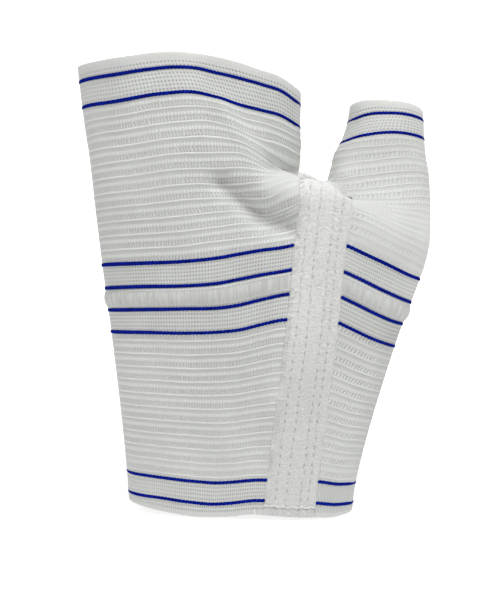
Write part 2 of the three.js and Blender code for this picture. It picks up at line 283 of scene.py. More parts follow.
thumbHeights = throughTable([], [
    [course.wristEdge, -3.2, -3.4, -3.4, -2.8, -2.6, -2.6, -2.5],
    [course.wristLineLow, -0.3, 0.5, 1.2, 2.3, 2.7, 2.7, 2.6],
    [course.wristLineHigh, 6.6, 7.7, 8.5, 9.9, 10.4, 10.4, 10.2],
    [course.middleLine1, 57.8, 59.2, 61.6, 65.4, 68, 68.5, 68.5],
    [course.middleLine2, 66.2, 67.5, 70.2, 74.3, 77.1, 77.9, 78.5],
    [course.middleLine3, 74.3, 75.9, 78.8, 83.1, 86, 87.2, 88.3],
    [course.middleLine4, 83, 84.4, 87.6, 91.8, 95.1, 96.7, 98.2],
    [rib(1), 87.8, 89.9, 92.9, 97.2, 100.3, 101.8, 103.4],
    [rib(2), 93, 94.9, 97.7, 102.6, 105.5, 106.9, 108.3],
    [rib(3), 98, 99.3, 101.8, 106.1, 109, 110.5, 112.3],
    [rib(4), 103.2, 103.7, 105, 108.1, 110.3, 112, 115],
    [rib(5), 108.5, 108.4, 108.4, 109.6, 111.1, 113, 116.6],
    [rib(6), 113.7, 113.3, 112.2, 111.5, 112, 113.9, 117.8],
    [rib(7), 118.4, 118.2, 117.1, 115.9, 115.3, 115.8, 118.8],
    [course.crotch, 122.9, 122.8, 122, 120.7, 120, 119.4, 119.6],
    [rib(9), 127.3, 127.6, 127.2, 126.1, 125.7, 125.3, 125.1],
    [rib(10), 131.6, 132.2, 132.1, 131.5, 131.4, 131.2, 131.3],
    [course.topLineLow, 135.6, 136, 136.4, 136.3, 135.9, 135.6, 134.9],
    [course.topLineHigh, 142.4, 142.9, 143.4, 143.6, 143.6, 143.4, 142.8],
    [course.topEdge, 145.8, 147, 147.9, 148.4, 148.8, 149, 149.1],
])
folds = [  # how far it rises from the cloth, half its width, power of its fall, run of x and z
    # the roll gathered into the crotch, and the crease under it
    (3.0, 6, 2, [(9, 116), (15, 115.6), (23, 114.8)]),
    (-4.2, 3.8, 2, [(-7, 117.6), (0, 111.7), (7, 106.4), (12, 103.2), (17, 102.5)]),
    # the ridge beside the tuck
    (1.8, 4.5, 2, [(-7, 145), (0, 135.5), (3, 129.5), (6, 123)]),
    # the bulge at the thumb's base, and the shallow hollow above it
    (2.6, 12, 2, [(48, 99), (67, 94)]),
    (-1.6, 8, 2, [(45, 121), (60, 121)]),
]
tuck = dict(depth=5.5, edgeX=(11, 16, 22), edgeZ=(122.7, 123.2, 122.3),
            turnsIn=1.0, fadesUp=8, fadesAside=3.5)
paintedLightAndSmoothSpots = [  # painted light and shade: strong spots draw the cloth smooth and paint it lighter, weak ones only paint it a little lighter, and a spot whose rise is below zero paints it darker; columns as in the folds' table
    (0.9, 6, 3, [(12, 117.6), (28, 116.5)]),
    (0.95, 13, 2, [(56, 104), (69, 100)]),
    (0.35, 7, 2, [(-4, 137), (4.5, 126)]),
    (0.4, 8, 2, [(-8, 103), (8, 98)]),
    (0.85, 9, 2, [(-33, 156), (-21, 157)]),
    (0.6, 10, 2, [(42, 94), (62, 82)]),
    (0.45, 8, 2, [(40, 84), (58, 74)]),
    (0.6, 9, 2, [(48, 146), (62, 146)]),
    (0.45, 5, 2, [(37, 126), (41, 140)]),
    (-0.6, 6, 2, [(46, 14), (59, 60)]),
    (0.45, 3.5, 2, [(13, 40), (16.5, 63), (19.5, 95)]),
]


def depthShare(x, left, right, leftPower=0.5):
    across = (2 * x - left - right) / (right - left)
    inside = 1 - across**2
    power = np.where(across < 0, leftPower, 0.5)
    return np.where(inside > 0, np.maximum(inside, 1e-9) ** power, inside)


def nearFolds(kinds, x, z):
    total = np.zeros_like(x)
    for rise, half, power, run in kinds:
        away = np.full_like(x, 1e3)
        for (fromX, fromZ), (toX, toZ) in zip(run, run[1:]):
            runX, runZ = toX - fromX, toZ - fromZ
            t = np.clip(((x - fromX) * runX + (z - fromZ) * runZ) / (runX**2 + runZ**2), 0, 1)
            away = np.minimum(away, np.hypot(x - fromX - t * runX, z - fromZ - t * runZ))
        total += rise * np.exp(-((away / half) ** power))
    return total


def tuckDrop(x, z):  # the cloth goes in behind the roll's upper edge and comes out again above it
    above = z - np.interp(x, tuck["edgeX"], tuck["edgeZ"])
    inside = smoothStep(above, -tuck["turnsIn"], tuck["turnsIn"])
    inside = inside * np.exp(-np.maximum(above, 0) / tuck["fadesUp"])
    aside = np.maximum(tuck["edgeX"][0] - x, 0) / tuck["fadesAside"]
    return tuck["depth"] * inside * np.exp(-(aside**2))


def clothDepth(x, at, isFront):
    palm, thumb = palmAt(at), thumbAt(at)
    blend = seamAt(np.minimum(at, course.crotch)).blend
    blend = blend * (1 - smoothStep(at, course.crotch, course.crotch + web["fadesOver"]))
    palmFull, thumbFull = (palm.front, thumb.front) if isFront else (palm.back, thumb.back)
    palmDepth = palmFull * depthShare(x, palm.leftX, palm.rightX, palm.crease)
    thumbDepth = thumbFull * depthShare(x, thumb.leftX, thumb.rightX)
    thumbDepth = thumbDepth + (-1 if isFront else 1) * thumb.middle
    return (palmDepth + thumbDepth + np.hypot(palmDepth - thumbDepth, blend)) / 2


def webShare(at):
    climbed = np.clip((at - course.crotch) / web["turnsOver"], 0, 1)
    return 1 - np.sqrt(1 - (1 - climbed) ** 2)


def softWaver(x, z):  # slight unevenness of soft cloth
    return (0.16 * np.sin(0.29 * x + 0.13 * z) + 0.13 * np.sin(0.21 * z - 0.17 * x + 1.3)
            + 0.08 * np.sin(0.53 * x - 0.31 * z + 2.1))


# Half rings, from the outer side (along 0) to the seam or a tube's inner end (along 1)

def clothHalf(isPalm, at, along, isFront):
    palm, thumb = palmAt(at), thumbAt(at)
    seam = seamAt(np.minimum(at, course.crotch))
    joined = at <= course.crotch + 1e-6
    part = palm if isPalm else thumb
    sideX = palm.leftX if isPalm else thumb.rightX
    stations = palmStations if isPalm else thumbStations
    heights = (palmHeights if isPalm else thumbHeights)(at).all
    tubeEnd = palm.rightX - web["innerCap"] if isPalm else thumb.leftX + web["innerCap"]
    endX = np.where(joined, seam.x, lerp(tubeEnd, seam.x, webShare(at)))
    settled = smoothStep(at, course.crotch, course.crotch + web["settlesOver"])
    fullX = np.where(joined, seam.x, lerp(seam.x, tubeEnd, settled))
    # only the wales near the web turn in
    turnIn = 6 - 5 * smoothStep(at, course.crotch, course.topEdge)
    x = lerp(sideX, seam.x, along) + (endX - seam.x) * along**turnIn
    reach = (x - sideX) / (fullX - sideX)
    if isFront:
        z = acrossStations(stations, heights, reach)
    else:
        endZ = np.where(joined, seam.backZ, heights[..., -1])
        z = lerp(heights[..., 0], endZ, reach) + part.backArch * 4 * reach * (1 - reach)
    depth = clothDepth(x, at, isFront)
    if isFront:
        depth = depth + nearFolds(folds, x, z) - (tuckDrop(x, z) if isPalm else 0)
    depth = depth + softWaver(x, z) * smoothStep(along, 0, 0.15)
    sideY = 0 * x if isPalm else 0 * x + thumb.middle
    y = np.where(along == 0, sideY, -depth if isFront else depth)
    return np.stack([x, y, z], -1)


def innerEnd(front, back, isPalm, at, steps):  # a tube's inner end: the last piece of its oval
    part = palmAt(at) if isPalm else thumbAt(at)
    turn = np.arange(1, steps)[None, :] / steps * math.pi
    cut = 1 - 2 * web["innerCap"] / (part.rightX - part.leftX)
    bulge = (np.sqrt(1 - (1 - cut**2) * np.cos(turn) ** 2) - cut) / (1 - cut)
    points = lerp(front[:, -1:], back[:, -1:], ((1 - np.cos(turn)) / 2)[..., None])
    out = (1 if isPalm else -1) * web["innerCap"] * (1 - webShare(at)) * bulge
    run = front[:, -1:] - front[:, -2:-1]
    # the courses keep their slope round the end
    slope = np.clip(run[..., 2] / run[..., 0], -0.8, 0.8) / 2
    points[..., 0] += out
    points[..., 2] += web["rise"] * webShare(at) * np.sin(turn) + slope * out
    return points


def ring(kind, at, spread, steps):
    at = np.atleast_1d(at).astype(float)[:, None]
    palmFront, palmBack, thumbFront, thumbBack = [
        clothHalf(isPalm, at, spread[name][None, :], isFront)
        for name, isPalm, isFront in (("palmFront", True, True), ("palmBack", True, False),
                                      ("thumbFront", False, True), ("thumbBack", False, False))
    ]
    if kind == "body":
        parts = [palmFront, thumbFront[:, ::-1][:, 1:], thumbBack[:, 1:], palmBack[:, ::-1][:, 1:]]
    elif kind == "palm":
        parts = [palmFront, innerEnd(palmFront, palmBack, True, at, steps), palmBack[:, ::-1]]
    else:
        end = innerEnd(thumbFront, thumbBack, False, at, steps)[:, ::-1]
        parts = [thumbFront[:, ::-1], thumbBack[:, 1:], end, thumbFront[:, -1:]]
    return np.concatenate(parts, 1)


# Shader maths: a Flow is one socket of a material, and sums on it add Math nodes

class Flow:
    def __init__(self, tree, socket):
        self.tree, self.socket = tree, socket

    def node(self, kind, settings=None, inputs=None, output=0):
        made = self.tree.nodes.new("ShaderNode" + kind)
        for name, value in (settings or {}).items():
            setattr(made, name, value)
        for name, value in (inputs or {}).items():
            if isinstance(value, Flow):
                self.tree.links.new(value.socket, made.inputs[name])
            else:
                made.inputs[name].default_value = value
        return Flow(self.tree, made.outputs[output])

    def out(self, name):
        return Flow(self.tree, self.socket.node.outputs[name])

    def maths(self, operation, *values):
        return self.node("Math", {"operation": operation}, dict(enumerate(values)))

    def __add__(self, other): return self.maths("ADD", self, other)
    def __radd__(self, other): return self.maths("ADD", other, self)
    def __sub__(self, other): return self.maths("SUBTRACT", self, other)
    def __rsub__(self, other): return self.maths("SUBTRACT", other, self)
    def __mul__(self, other): return self.maths("MULTIPLY", self, other)
    def __rmul__(self, other): return self.maths("MULTIPLY", other, self)
    def __truediv__(self, other): return self.maths("DIVIDE", self, other)
    def cos(self): return self.maths("COSINE", self)
    def fract(self): return self.maths("FRACT", self)
    def abs(self): return self.maths("ABSOLUTE", self)
    def least(self, other): return self.maths("MINIMUM", self, other)
    def most(self, other): return self.maths("MAXIMUM", self, other)

    def step(self, low, high):
        settings = {"interpolation_type": "SMOOTHSTEP"}
        return self.node("MapRange", settings, {"Value": self, "From Min": low, "From Max": high})

    def between(self, low, high, soft):
        return self.step(low - soft, low + soft) * (1 - self.step(high - soft, high + soft))

    def hump(self, middle, half):
        return 1 - (self - middle).abs().step(0, half)

    def wave(self):
        return (self * (2 * math.pi)).cos() * 0.5 + 0.5

    def scaled(self, *scale):
        return self.node("Mapping", None, {"Vector": self, "Scale": scale})

    def noise(self, scale, detail):
        return self.node("TexNoise", None, {"Vector": self, "Scale": scale, "Detail": detail})

    def tint(self, dark, pale):
        made = self.node("Mix", {"data_type": "RGBA"}, {"Factor": self}, 2)
        mixer = made.socket.node
        mixer.inputs[6].default_value = (*dark, 1)
        mixer.inputs[7].default_value = (*pale, 1)
        return made


def newMaterial(name):
    material = bpy.data.materials.new(name)
    material.use_nodes = True
    shader = next(n for n in material.node_tree.nodes if n.type == "BSDF_PRINCIPLED")
    flow = Flow(material.node_tree, shader.outputs[0])
    return material, shader, flow, flow.node("TexCoord").out("Object")


def clothMap(flow):  # the flat cloth, and its two directions
    cloth = flow.node("UVMap", {"uv_map": "cloth"})
    parts = flow.node("SeparateXYZ", None, {"Vector": cloth})
    return cloth, parts.out("X"), parts.out("Y")


def finishMaterial(flow, shader, colour, height, bumpDepth, strength, **constants):
    links = flow.tree.links
    links.new(colour.socket, shader.inputs["Base Color"])
    inputs = {"Height": height, "Distance": bumpDepth, "Strength": strength}
    bump = flow.node("Bump", None, inputs)
    links.new(bump.socket, shader.inputs["Normal"])
    for name, value in constants.items():
        shader.inputs[name.replace("_", " ")].default_value = value


def dress(piece, material):
    piece.data.materials.clear()
    piece.data.materials.append(material)
    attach(piece, "root")


# The knit sleeve

knit = dict(
    wall=1.6, webSteps=10, packing=1.35, palmFront=62, palmBack=34, thumbFront=32, thumbBack=20,
    palmWales=72, thumbWales=28, endWales=12, gridPitch=1.385, mergeOver=0.02,
    cordRise=0.13, cordHalf=0.05, padRise=1.0, padInset=0.9, edgeRound=0.45, edgeOver=0.9,
    ribForms=((0.53, 0.08, 0.12), (0.26, 0.12, -0.14), (0.76, 0.12, 0.04)),  # phase, half width, rise
    ribPhases=(0, 0.055, 0.12, 0.26, 0.40, 0.48, 0.56, 0.74, 0.90, 0.95),
    gathered=(0.2, 0.85), sideRelief=0.35, sideOver=8, thumbBase=(98, 112),
    tone=0.584, white=(0.985, 1.0, 0.965),
)


def ribRows(start, pitch, count):
    return [start + (i + phase) * pitch for i in range(count) for phase in knit["ribPhases"]]


def knitRows():
    edge = [0, 0.3, 0.8, 1.6, 2.6, 3.6, 4.2, 4.6, 5.0, 5.8, 7, 8.2, 9.4, 10.6, 11.6, 12.2, 12.9, 13.5]
    top = [162, 162.6, 163.6, 164.6, 165.6, 166.4, 167, 167.4, 167.6]
    lower = ribRows(course.lowerCord, lowerPitch, lowerRibs)
    rows = edge + [row for row in lower if row < course.middleLine1 - 0.3]
    rows += ribRows(course.middleLine4, upperPitch, upperRibs) + top
    bands = ((course.middleLine1, course.middleLine2, 9), (course.middleLine2, course.middleLine3, 15),
             (course.middleLine3, course.middleLine4, 9), (course.topLineLow, course.topLineHigh, 9))
    for low, high, count in bands:
        rows += list(np.linspace(low, high, count)[:-1])
    rows += [course.crotch + web["turnsOver"] * share for share in (0.03, 0.1, 0.22, 0.4, 0.65, 1)]
    return np.array(sorted(set(np.round(rows, 4))))


def ribRelief(phase):
    near = np.minimum(phase, 1 - phase)
    relief = knit["cordRise"] * np.exp(-((near / knit["cordHalf"]) ** 2))
    for middle, half, rise in knit["ribForms"]:  # bead, ladder and band
        relief = relief + rise * np.exp(-(((phase - middle) / half) ** 2))
    return relief


def knitRelief(at):
    lower, upper = (at - course.lowerCord) / lowerPitch, (at - course.middleLine4) / upperPitch
    inLower = (at > course.wristLineHigh + 0.5) & (at < course.middleLine1 - 0.5)
    inUpper = (at > course.middleLine4 + 0.5) & (at < course.topLineLow - 0.5)
    relief = np.where(inLower, ribRelief(lower % 1), np.where(inUpper, ribRelief(upper % 1), 0))
    padFrom, padTo = course.middleLine2 + knit["padInset"], course.middleLine3 - knit["padInset"]
    padded = np.clip((at - padFrom) / (padTo - padFrom), 0, 1)
    relief = relief + knit["padRise"] * np.sin(math.pi * padded) ** 0.8
    fromEdge = np.minimum(at, course.topEdge - at)
    return relief - knit["edgeRound"] * np.clip(1 - fromEdge / knit["edgeOver"], 0, 1) ** 2


def spreadOf(**counts):
    return {name: np.linspace(0, 1, count + 1) ** knit["packing"] for name, count in counts.items()}


def arcShares(isPalm, along):
    points = clothHalf(isPalm, np.array([[115.0]]), along[None, :], True)[0]
    steps = np.linalg.norm(np.diff(points, axis=0), axis=1)
    return np.concatenate([[0], np.cumsum(steps)]) / steps.sum()


def clothGrid(name, kind, rows, spread, wales):
    places = ring(kind, rows, spread, knit["webSteps"])
    across, up = places.shape[1] - 1, len(rows) - 1
    grid, flat = flatGrid(name, across, up)
    mesh = grid.data
    column = np.rint((flat[:, 0] + 1) / 2 * across).astype(int)
    row = np.rint((flat[:, 1] + 1) / 2 * up).astype(int)
    setPoints(mesh, places[row, column] * mm)
    # the ribs fade out where the courses are gathered closely together
    spacing = np.linalg.norm(np.gradient(places[..., 1:], rows, axis=0), axis=-1)
    nearby = np.pad(spacing, ((4, 4), (0, 0)), mode="edge")
    spacing = sum(nearby[i : i + len(rows)] for i in range(9)) / 9
    ease = smoothStep(spacing, *knit["gathered"])[row, column]
    relief = knitRelief(rows)[row] * ease
    seamX = seamAt(np.minimum(rows, course.crotch)).x[row]
    spot = places[row, column]
    underTape = (spot[:, 1] < 0) & (rows[row] <= course.crotch + 1.5)
    away = np.abs(spot[:, 0] - seamX) - tape["width"] / 2
    relief = relief * np.where(underTape, smoothStep(away, -1, 2), 1)
    fromLeft, fromRight = spot[:, 0] - palmAt(rows).leftX[row], thumbAt(rows).rightX[row] - spot[:, 0]
    atSide = smoothStep(np.minimum(fromLeft, fromRight), 0, knit["sideOver"])
    inPad = (rows[row] > course.middleLine2) & (rows[row] < course.middleLine3)
    relief = relief * np.where(inPad, 1, lerp(knit["sideRelief"], 1, atSide))
    # the spots' painted light and shade, on the front only; strong spots also smooth the ribs
    pale = np.minimum(nearFolds(paintedLightAndSmoothSpots, spot[:, 0], spot[:, 2]), 1) * (spot[:, 1] < 0)
    for label, values in (("relief", relief), ("ease", ease), ("pale", pale)):
        layer = mesh.attributes.new(label, "FLOAT", "POINT")
        layer.data.foreach_set("value", values.astype(np.float32))
    corner = cornersOf(mesh)
    faceColumn = np.repeat(column[corner].reshape(-1, 4).min(1), 4)
    first, last = wales
    wale = np.where(column[corner] != faceColumn, last[faceColumn], first[faceColumn])
    setClothMap(mesh, np.stack([wale, rows[row[corner]]], 1))
    return grid


def relaxWeb(sleeve):  # evens out the courses that crowd together behind the web
    away = (pointsOf(sleeve.data) / mm - np.array(web["back"])) / np.array(web["backReach"])
    smooth = bpy.ops.mesh.vertices_smooth, {"factor": 0.5, "repeat": web["backRelax"]}
    editMesh(sleeve, smooth, only=np.linalg.norm(away, axis=1) < 1)


def buildKnit():
    rows = knitRows()
    names = "palmFront", "palmBack", "thumbFront", "thumbBack"
    spread = spreadOf(**{name: knit[name] for name in names})
    share = {name: arcShares(name.startswith("palm"), along) for name, along in spread.items()}
    palms, thumbs = knit["palmWales"], knit["thumbWales"]
    palmFront = palms * (share["palmFront"] - 1)            # up to 0 at the front seam
    thumbFront = (thumbs * (1 - share["thumbFront"]))[::-1]  # from 0 at the seam out to the thumb side
    thumbBack = thumbs + thumbs * share["thumbBack"]
    palmBack = 2 * thumbs + palms * (1 - share["palmBack"][::-1])
    palmEnd = np.linspace(0, knit["endWales"], knit["webSteps"] + 1)
    runs = {
        "body": [palmFront, thumbFront, thumbBack, palmBack],
        "palm": [palmFront, palmEnd, palmBack],
        "thumb": [thumbFront, thumbBack, 2 * thumbs + palmEnd],
    }
    grids = []
    for kind, run in runs.items():
        wales = np.concatenate([r[:-1] for r in run]), np.concatenate([r[1:] for r in run])
        inTube = rows <= course.crotch + 1e-3 if kind == "body" else rows >= course.crotch - 1e-3
        name = "knitSleeve" if kind == "body" else kind
        grids.append(clothGrid(name, kind, rows[inTube], spread, wales))
    pick(*grids)
    bpy.ops.object.join()
    sleeve = grids[0]
    editMesh(sleeve, (bpy.ops.mesh.remove_doubles, {"threshold": knit["mergeOver"] * mm}))
    relaxWeb(sleeve)
    mesh = sleeve.data
    relief = np.empty(len(mesh.vertices), np.float32)
    mesh.attributes["relief"].data.foreach_get("value", relief)
    normal = np.empty(len(mesh.vertices) * 3, np.float32)
    mesh.vertex_normals.foreach_get("vector", normal)
    setPoints(mesh, pointsOf(mesh) + normal.reshape(-1, 3) * relief[:, None] * mm)
    mesh.attributes.remove(mesh.attributes["relief"])
    applyModifier(sleeve, "SOLIDIFY", thickness=knit["wall"] * mm, offset=-1)
    return shadeSmooth(sleeve)


def knitMaterial():
    material, shader, flow, body = newMaterial("whiteKnit")
    cloth, wale, at = clothMap(flow)
    ease = flow.node("Attribute", {"attribute_name": "ease"}).out("Fac")
    # pale carries the spots' painted light and shade, and where strong it smooths the ribs
    pale = flow.node("Attribute", {"attribute_name": "pale"}).out("Fac")
    drift = cloth.scaled(0.35, 0.18, 1.0).noise(1, 2)
    side = wale.abs() + (drift - 0.5) * 1.6  # mirrored at the front seam
    rows = at + (cloth.scaled(0.22, 0.3, 1.0).noise(1, 2) - 0.5) * 0.35
    lower = ((rows - course.lowerCord) / lowerPitch).fract()
    upper = ((rows - course.middleLine4) / upperPitch).fract()
    phase = lower + (upper - lower) * at.step(78, 79)
    ribs = at.between(course.wristLineHigh, course.middleLine1, 0.2)
    ribs = ribs + at.between(course.middleLine4, course.topLineLow, 0.2)
    pad = at.between(course.middleLine2 + 1.7, course.middleLine3 - 2.0, 0.3)
    grid = (1 - ribs - pad).most(0)
    cord = 1 - phase.least(1 - phase).step(0.02, 0.09)
    ladder = phase.between(0.10, 0.38, 0.035)
    bead = phase.between(0.45, 0.66, 0.04)
    band = phase.between(0.70, 0.93, 0.04)
    onThumb = wale.step(-0.5, 0.5)
    above = at.step(*knit["thumbBase"])
    onTube = onThumb * above
    # where the strands turn into dots
    dotted = (1 - (side - at * 0.2).step(8, 24)) * (1 - onThumb) + onTube * 0.8
    slanted = side * 1.15 - phase * ((onThumb - onTube) * 0.9 + 0.8)
    strand = slanted.wave().step(0.2, 0.8)
    stroke = (slanted + 0.3).wave().step(0.25, 0.85)
    dots = (phase.hump(0.405, 0.07) + dotted * phase.hump(0.12, 0.06)) * (1 - strand)
    strokes = onThumb * (1 - at.step(20, 22))  # the wrist band on the thumb side has upright strokes
    rungs = (at / knit["gridPitch"] + 0.5).wave()
    mesh = wale * ((1 - above) * (0.17 + 0.83 * onThumb) + 1)  # the holes lie closer below the crotch
    fuzz = body.noise(2600, 3)
    cloud = (body.noise(70, 3) + body.noise(24, 1)) * 0.5
    contrast = (body.noise(40, 2) * 1.5 + 0.5) * (1 - 0.15 * side.step(40, 70))
    holes = mesh.wave() * rungs * (1 - strokes) + (wale * 2).wave() * strokes * 0.5
    holes = holes.step(0.14, 0.72) * contrast
    # the hems are plain
    holes = holes * at.step(1.3, 1.8) * (1 - at.step(course.topEdge - 3.0, course.topEdge - 2.5))
    rung = strand * (0.10 + 0.12 * onThumb) - 0.065 - 0.035 * onThumb
    weave = cord * (0.095 - 0.015 * onThumb) + ladder * rung * (1 - 0.6 * dotted)
    weave = weave + bead * (stroke * (0.05 + 0.03 * dotted) + 0.03)
    # painted shadow under each cord: the band darkens towards the cord just above it
    weave = weave - band * (0.03 + 0.05 * phase.step(0.68, 0.95)) - dots * (0.05 + 0.09 * dotted)
    onWrist = 1 - at.step(16, 20)
    lace = 0.04 - holes * (0.14 - 0.03 * side.step(25, 65))
    lace = lace - mesh.wave() * (0.02 + 0.035 * onWrist) - rungs * (0.025 - 0.02 * onWrist)
    padding = cloth.scaled(1.3, 0.12, 1.0).noise(1, 3) * 0.34 - 0.22
    plain = (1 - ease).most(pale.step(0.4, 1))
    strength = 0.6 + 0.4 * at.step(12, 34) - onTube * 0.2 - onThumb * 0.15
    tone = ribs * weave * contrast * (1 - plain * 0.85) * strength + grid * lace + pad * padding
    # painted light and shade from the spots; the cloth is also a little lighter where the courses are
    # gathered and on the thumb tube
    tone = tone + knit["tone"] + pale * 0.085 + (1 - ease) * 0.02 + onTube * 0.02
    tone = tone + (fuzz - 0.5) * 0.10 + (cloud - 0.5) * 0.14
    height = cord * 0.6 + bead * stroke * (0.4 + 0.2 * dotted) + ladder * strand * 0.9
    height = height + band * stroke * 0.2
    height = ribs * (1 - plain) * height + grid * (1 - holes) * 0.8
    height = height + pad * padding * 3 + (fuzz - 0.5) * 0.5
    colour = tone.tint((0, 0, 0), knit["white"])
    finishMaterial(flow, shader, colour, height, 0.0003, 0.7,
                   Roughness=0.9, Sheen_Weight=0.1, Specular_IOR_Level=0.2)
    return material


sleeve = buildKnit()
dress(sleeve, knitMaterial())
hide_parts("knit_sleeve")
print("knit sleeve:", len(sleeve.data.polygons), "faces")


# Blue yarns knitted in as lines

yarn = dict(
    plyOffset=0.13, plySides=7, turn=2.8, stepsPerTurn=10, steps=300, probe=0.4, mergeOver=0.005,
    sits=-0.28, sideSink=0.3, sideFrom=0.75, tapeClear=-0.2, swell=0.14, swellOver=(15, 45),
    deep=(0.0002, 0.0012, 0.06), bright=(0.003, 0.018, 0.36),
)


def linePath(at, kind):
    n = yarn["steps"]
    spread = spreadOf(palmFront=n, palmBack=n, thumbFront=n, thumbBack=n)
    courses = at - yarn["probe"], at, at + yarn["probe"]
    low, here, high = [ring(kind, a, spread, 16)[0] for a in courses]
    around = np.roll(here[:-1], -1, 0) - np.roll(here[:-1], 1, 0)
    normal = np.cross(around, (high - low)[:-1])
    normal /= np.linalg.norm(normal, axis=1)[:, None]
    atSide = smoothStep(np.abs(normal[:, :1]), yarn["sideFrom"], 1)
    path = here[:-1] + normal * (yarn["sits"] - yarn["sideSink"] * atSide)  # flush at the outer sides
    if kind != "body":
        return path, True
    seamX = float(seamAt(at).x)
    underTape = (path[:, 1] < 0) & (np.abs(path[:, 0] - seamX) < tape["width"] / 2 + yarn["tapeClear"])
    start = np.flatnonzero(underTape)[-1] + 1
    path = np.roll(path, -start, 0)
    return path[: len(path) - underTape.sum()], False


def buildLine(name, at, kind, plyRadius):
    path, closed = linePath(at, kind)
    run = np.vstack([path, path[:1]]) if closed else path
    length = np.linalg.norm(np.diff(run, axis=0), axis=1).sum() * mm
    guide = newPath(name + "Path", path)
    spline = guide.data.splines[0]
    swell = smoothStep(-path[:, 0], *yarn["swellOver"]) * (at > course.wristLineHigh)
    spline.points.foreach_set("radius", (1 + yarn["swell"] * swell).astype(np.float32))
    spline.use_cyclic_u = closed
    deselectAll()
    plies = []
    for side in (-1, 1):  # two plies side by side, then screwed into a twisted yarn
        place = (side * yarn["plyOffset"] * mm, 0, 0)
        bpy.ops.mesh.primitive_circle_add(
            vertices=yarn["plySides"], radius=plyRadius * mm, location=place)
        plies.append(bpy.context.object)
    pick(*plies)
    bpy.ops.object.join()
    line = plies[0]
    line.name = name
    bpy.ops.object.transform_apply(location=True, rotation=True, scale=True)
    turns = max(1, round(length / (yarn["turn"] * mm)))
    applyModifier(
        line, "SCREW", axis="Z", angle=2 * math.pi, screw_offset=length / turns, iterations=turns,
        steps=yarn["stepsPerTurn"], render_steps=yarn["stepsPerTurn"], use_merge_vertices=False,
    )
    applyModifier(line, "CURVE", object=guide, deform_axis="POS_Z")
    bpy.data.objects.remove(guide)
    editMesh(
        line, (bpy.ops.mesh.remove_doubles, {"threshold": yarn["mergeOver"] * mm}),
        (bpy.ops.mesh.fill_holes, {"sides": 0}),
        (bpy.ops.mesh.normals_make_consistent, {"inside": False}),
    )
    return shadeSmooth(line)


def yarnMaterial():
    material, shader, flow, body = newMaterial("blueYarn")
    fibres = body.noise(1500, 3)
    fuzz = body.noise(5200, 2)
    tone = fibres.step(0.30, 0.70) * 0.75 + (fuzz - 0.5) * 0.3 + 0.1
    colour = tone.tint(yarn["deep"], yarn["bright"])
    finishMaterial(flow, shader, colour, fibres + fuzz, 0.0001, 0.5,
                   Roughness=0.85, Specular_IOR_Level=0.03)
    return material


blueYarn = yarnMaterial()
lines = [  # name, course, which tube of the sleeve, radius of a ply
    ("WristLow", course.wristLineLow, "body", 0.62),
    ("WristHigh", course.wristLineHigh, "body", 0.62),
    ("Middle1", course.middleLine1, "body", 0.65),
    ("Middle2", course.middleLine2, "body", 0.65),
    ("Middle3", course.middleLine3, "body", 0.65),
    ("Middle4", course.middleLine4, "body", 0.67),
    ("PalmLow", course.topLineLow, "palm", 0.65),
    ("PalmHigh", course.topLineHigh, "palm", 0.63),
    ("ThumbLow", course.topLineLow, "thumb", 0.6),
    ("ThumbHigh", course.topLineHigh, "thumb", 0.58),
]
for name, at, kind, plyRadius in lines:
    dress(buildLine("blueLine" + name, at, kind, plyRadius), blueYarn)
print("blue lines:", len(lines))


# The sewn tape over the front seam, laid out by its own length from the wrist edge

seamCourses = np.linspace(0, course.crotch, 500)
seamPath = clothHalf(True, seamCourses[:, None], np.ones((1, 1)), True)[:, 0]
seamLengths = np.concatenate([[0], np.cumsum(np.linalg.norm(np.diff(seamPath, axis=0), axis=1))])
tape["end"] = float(seamLengths[-1]) - tape["endGap"]


def tapeBase(across, length):
    at = np.interp(length, seamLengths, seamCourses)
    # the top is cut away towards the thumb
    slanted = np.maximum(across - tape["slantFrom"], 0) * tape["slant"]
    at = at - slanted * smoothStep(length, tape["end"] - tape["slantOver"], tape["end"])
    seam = seamAt(at)
    x = seam.x + across * tape["width"] / 2
    palm, thumb = palmAt(at), thumbAt(at)
    onPalm = clothHalf(True, at, (x - palm.leftX) / (seam.x - palm.leftX), True)
    onThumb = clothHalf(False, at, (x - thumb.rightX) / (seam.x - thumb.rightX), True)
    return np.where((across <= 0)[..., None], onPalm, onThumb)


def tapePlace(across, length, lift):
    across, length = np.broadcast_arrays(np.asarray(across, float), np.asarray(length, float))
    here = tapeBase(across, length)
    left, right = [np.clip(across + d * tape["probeAcross"], -1, 1) for d in (-1, 1)]
    low = np.maximum(length - tape["probeLength"], 0)
    high = np.minimum(length + tape["probeLength"], tape["end"])
    sideways = tapeBase(right, length) - tapeBase(left, length)
    normal = np.cross(sideways, tapeBase(across, high) - tapeBase(across, low))
    normal /= np.linalg.norm(normal, axis=-1)[..., None]
    return here + normal * np.asarray(lift)[..., None], normal


def tapeRelief(across, length):
    share = (across + 1) / 2
    relief = np.zeros_like(length)
    for column in tape["needleColumns"]:
        offset = (share - column) * tape["width"]
        beat = np.cos(2 * math.pi * length / tape["stitchPitch"])
        near = np.exp(-((offset / tape["needleHalf"]) ** 2))
        relief -= near * (0.05 + 0.09 * np.clip(beat, 0, 1) ** 3)
    pucker = np.sin(length * 3.9 + 1.7 * np.sin(share * 9 + length * 0.21))
    pucker = pucker + np.sin(length * 2.3 - share * 11)
    return relief + tape["pucker"] * pucker


